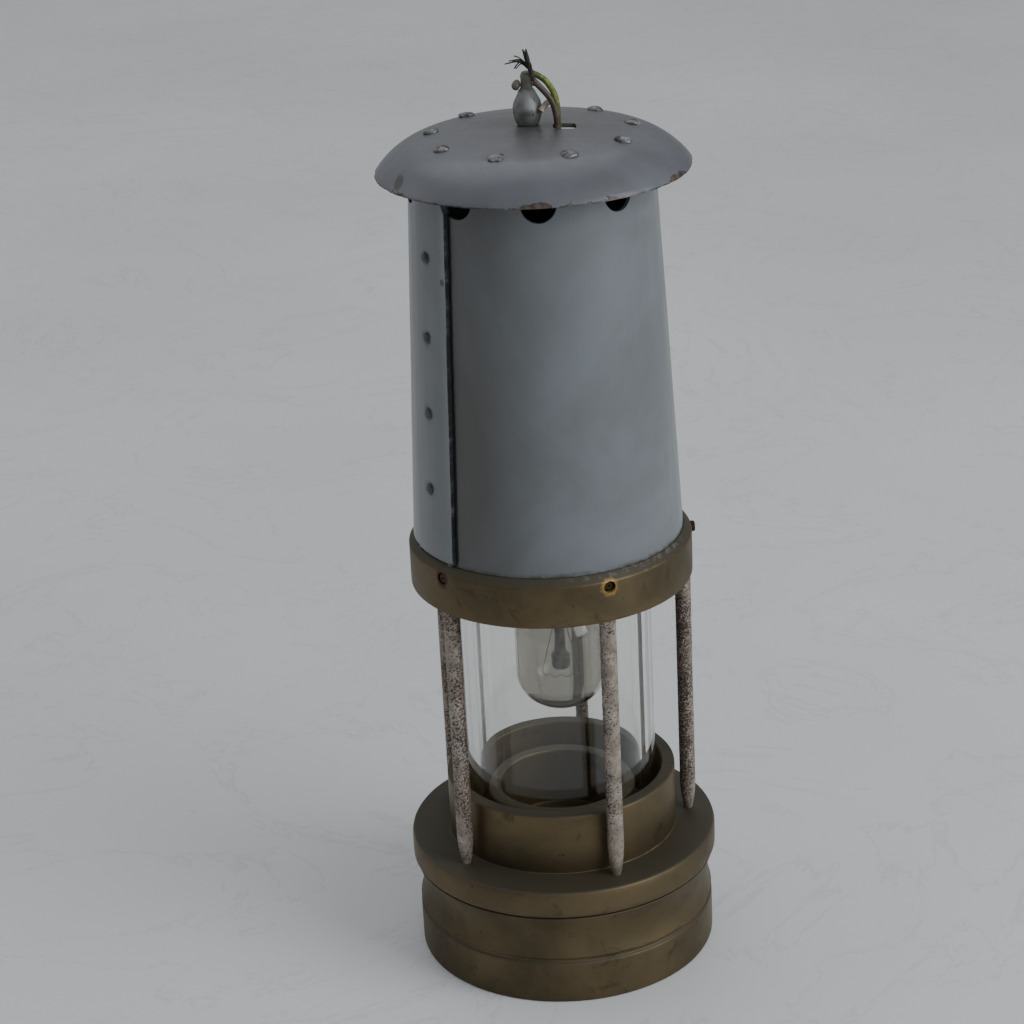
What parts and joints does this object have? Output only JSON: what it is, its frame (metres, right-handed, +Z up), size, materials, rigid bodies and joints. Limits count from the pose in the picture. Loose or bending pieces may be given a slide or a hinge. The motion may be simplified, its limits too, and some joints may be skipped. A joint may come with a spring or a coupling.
{
  "type": "miner's safety lamp",
  "caption": "Round brass safety lamp with a glass between rings on steel pillars, a tall tapered painted bonnet under a domed cap, and a bulb hung inside.",
  "frame": {"origin": "centre of the round base where it stands", "axes": "+Z up along the lamp's axis; the front is -Y, with the lap seam to its left"},
  "size_m": [0.0923, 0.0922, 0.2753],
  "materials": {
    "aged_brass": "tarnished, dull brown patina with worn bright edges",
    "dark_brass": "blackened patina",
    "painted_steel": "blue-grey satin paint, worn at the rim",
    "rusty_steel": "pitted, rust spotted plated steel",
    "grey_steel": "dull grey",
    "clear_glass": "clear, polished",
    "bulb_glass": "clear, thin",
    "rubber_seal": "matt",
    "holder_brass": "semi-polished",
    "black_moulding": "moulded",
    "tinned_metal": "dull",
    "brown_sleeve": "flex insulation",
    "earth_sleeve": "flex insulation, green with yellow",
    "pale_sleeve": "flex insulation, faded",
    "bare_copper": "oxidised strands",
    "tungsten": "fine wire"
  },
  "bodies": {
    "frame": {"lower_ring": "aged_brass", "pillars": "rusty_steel", "lower_glass_seal": "rubber_seal", "glass": "clear_glass", "upper_glass_seal": "rubber_seal", "upper_ring": "aged_brass", "ring_screws": "dark_brass", "bonnet": "painted_steel", "seam_rivets": "painted_steel", "cap": "painted_steel", "cap_rivets": "painted_steel", "holder_plate": "grey_steel", "holder_barrel": "holder_brass", "holder_ring": "holder_brass", "holder_cover": "holder_brass", "holder_block": "black_moulding", "terminals": "holder_brass", "plunger_springs": "grey_steel", "brown_wire": "brown_sleeve", "earth_wire": "earth_sleeve", "pale_wire": "pale_sleeve", "brown_strands": "bare_copper", "earth_strands": "bare_copper"},
    "seal": {"vessel_seal": "rubber_seal"},
    "vessel": {"oil_vessel": "aged_brass", "vessel_base": "aged_brass", "burner_seat": "aged_brass"},
    "swivel": {"swivel_boss": "grey_steel", "swivel_stem": "grey_steel", "swivel_pin": "grey_steel", "swivel_washer": "grey_steel"},
    "bulb": {"bulb_glass": "bulb_glass", "bulb_cap": "holder_brass", "bulb_contacts": "tinned_metal", "bulb_stem": "bulb_glass", "bulb_filament": "tungsten"},
    "plungers": {"contact_plungers": "holder_brass"}
  },
  "joints": [
    {"name": "vessel_drop", "type": "slide", "parent": "frame", "child": "seal", "axis": [0, 0, 1], "range_m": [-0.00601, 0]},
    {"name": "vessel_turn", "type": "hinge", "parent": "seal", "child": "vessel", "pos_m": [0, 0, 0.03], "axis": [0, 0, 1], "range_deg": [-1440, 0]},
    {"name": "bulb_twist", "type": "hinge", "parent": "frame", "child": "bulb", "pos_m": [0.0014, 0, 0.131], "axis": [0, 0, 1], "range_deg": [-12, 0]},
    {"name": "plunger_press", "type": "slide", "parent": "frame", "child": "plungers", "axis": [0, 0, 1], "range_m": [0, 0.0025], "stiffness_N_per_m": 600, "springref_m": -0.004, "deforming": ["plunger_springs"]},
    {"name": "swivel_turn", "type": "hinge", "parent": "frame", "child": "swivel", "pos_m": [-0.0009, 0, 0.2533], "axis": [0, 0, 1], "range_deg": [-12, 12]}
  ],
  "couplings": [
    {"joint": "vessel_drop", "follows": "vessel_turn", "m_per_rad": 0.00023873}
  ]
}
